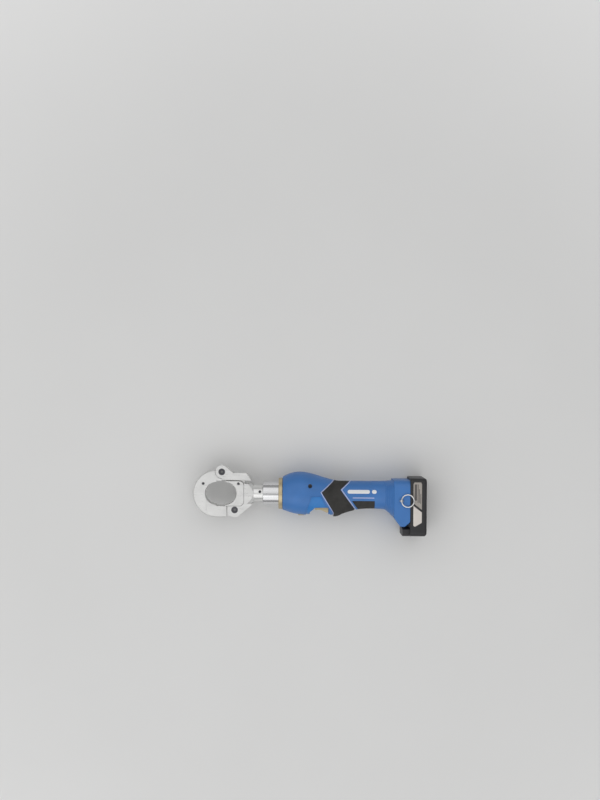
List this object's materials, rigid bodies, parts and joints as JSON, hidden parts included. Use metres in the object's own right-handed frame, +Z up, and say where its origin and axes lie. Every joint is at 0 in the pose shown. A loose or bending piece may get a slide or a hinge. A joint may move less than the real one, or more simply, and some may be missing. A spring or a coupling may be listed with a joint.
{
  "type": "battery crimping tool",
  "caption": "Inline battery hydraulic crimping tool with a latched flip-top die head, sprung ram, swivelling cylinder, moulded two-shell body and a slide-on battery.",
  "frame": {"origin": "on the surface that the tool lies on, under the middle of its box", "axes": "+X from the die head to the battery, +Y away from the trigger, +Z up from the surface, across the tool"},
  "size_m": [0.4168, 0.122, 0.082],
  "materials": {
    "steel": "satin ground steel",
    "chrome": "ground and polished",
    "dark_steel": "blackened",
    "gold": "satin tan coating",
    "blue": "fine moulded grain",
    "rubber": "matt moulded rubber",
    "tan": "fine moulded grain",
    "black": "fine moulded grain",
    "seal": "smooth",
    "alloy": "machined",
    "motor": "zinc plated",
    "magnet": "sintered",
    "copper": "bare",
    "board": "coated laminate",
    "cell": "shrink sleeve over a metal can",
    "frame": "moulded"
  },
  "bodies": {
    "body": {"front_collar": "gold", "swivel_ring": "alloy", "left_shell": "blue", "right_shell": "blue", "left_grip": "rubber", "right_grip": "rubber", "left_pad": "rubber", "right_pad": "rubber", "pump_block": "alloy", "swivel_seal": "seal", "pump_plunger": "steel", "plunger_plug": "dark_steel", "release_valve": "copper", "oil_bladder": "seal", "gear_case": "alloy", "motor_can": "motor", "motor_magnets": "magnet", "motor_end_cap": "frame", "trigger_switch": "frame", "control_board": "board", "terminal_block": "frame", "terminal_blades": "copper", "housing_screws": "dark_steel", "strap_eye": "motor"},
    "head": {"yoke": "steel", "rod_wiper": "seal", "neck_lock_screw": "dark_steel", "hinge_pin": "dark_steel", "hinge_pin_clip": "dark_steel", "cylinder": "chrome", "return_spring": "motor"},
    "ram": {"ram_head": "steel", "piston": "chrome", "piston_seal": "seal"},
    "jaw": {"swing_jaw": "steel"},
    "latch": {"latch_lever": "steel", "latch_pin": "dark_steel", "latch_pin_clip": "dark_steel"},
    "jaw_pin": {"jaw_die_pin": "dark_steel"},
    "ram_pin": {"ram_die_pin": "dark_steel"},
    "trigger": {"trigger": "tan"},
    "release": {"release_button": "tan"},
    "cam": {"cam_shaft": "steel", "cam_bearing": "steel"},
    "rotor": {"motor_rotor": "motor"},
    "battery": {"battery_cover": "black", "battery_case": "black", "battery_cells": "cell", "cell_holder": "frame", "battery_board": "board", "battery_contacts": "copper"},
    "battery_catch": {"battery_button": "frame"},
    "ring": {"strap_ring": "motor"}
  },
  "joints": [
    {"name": "head_turn", "type": "hinge", "parent": "body", "child": "head", "pos_m": [-0.0574, 0.011, 0.038], "axis": [1, 0, 0], "range_deg": [-175, 175]},
    {"name": "ram_slide", "type": "slide", "parent": "head", "child": "ram", "axis": [-1, 0, 0], "range_m": [0, 0.016], "stiffness_N_per_m": 1500, "springref_m": -0.02, "deforming": ["return_spring"]},
    {"name": "jaw_swing", "type": "hinge", "parent": "head", "child": "jaw", "pos_m": [-0.1334, -0.0183, 0.038], "axis": [0, 0, 1], "range_deg": [0, 80]},
    {"name": "latch_lift", "type": "hinge", "parent": "jaw", "child": "latch", "pos_m": [-0.1568, 0.0495, 0.038], "axis": [0, 0, 1], "range_deg": [0, 48], "stiffness_Nm_per_rad": 0.1, "springref_deg": -20.05},
    {"name": "jaw_pin_push", "type": "slide", "parent": "jaw", "child": "jaw_pin", "axis": [0, 0, -1], "range_m": [0, 0.002], "stiffness_N_per_m": 800, "springref_m": -0.002},
    {"name": "ram_pin_push", "type": "slide", "parent": "ram", "child": "ram_pin", "axis": [0, 0, -1], "range_m": [0, 0.002], "stiffness_N_per_m": 800, "springref_m": -0.002},
    {"name": "trigger_pull", "type": "slide", "parent": "body", "child": "trigger", "axis": [0, 1, 0], "range_m": [0, 0.0029], "stiffness_N_per_m": 1500, "springref_m": -0.002},
    {"name": "release_press", "type": "slide", "parent": "body", "child": "release", "axis": [0, 1, 0], "range_m": [0, 0.0025], "stiffness_N_per_m": 1500, "springref_m": -0.002},
    {"name": "motor_spin", "type": "hinge", "parent": "body", "child": "rotor", "pos_m": [0.09, 0.011, 0.038], "axis": [1, 0, 0], "continuous": true},
    {"name": "cam_turn", "type": "hinge", "parent": "body", "child": "cam", "pos_m": [0.023, 0.011, 0.038], "axis": [1, 0, 0], "continuous": true},
    {"name": "battery_slide", "type": "slide", "parent": "body", "child": "battery", "axis": [0, -1, 0], "range_m": [0, 0.085]},
    {"name": "battery_button_press", "type": "slide", "parent": "battery", "child": "battery_catch", "axis": [0, 1, 0], "range_m": [0, 0.0025], "stiffness_N_per_m": 1200, "springref_m": -0.002},
    {"name": "ring_swing", "type": "hinge", "parent": "body", "child": "ring", "pos_m": [0.1632, 0.0022, 0.0786], "axis": [0, -1, 0], "range_deg": [0, 150]}
  ],
  "couplings": [
    {"joint": "latch_lift", "follows": "jaw_swing", "ratio": 0.6},
    {"joint": "cam_turn", "follows": "motor_spin", "ratio": 0.083333}
  ]
}
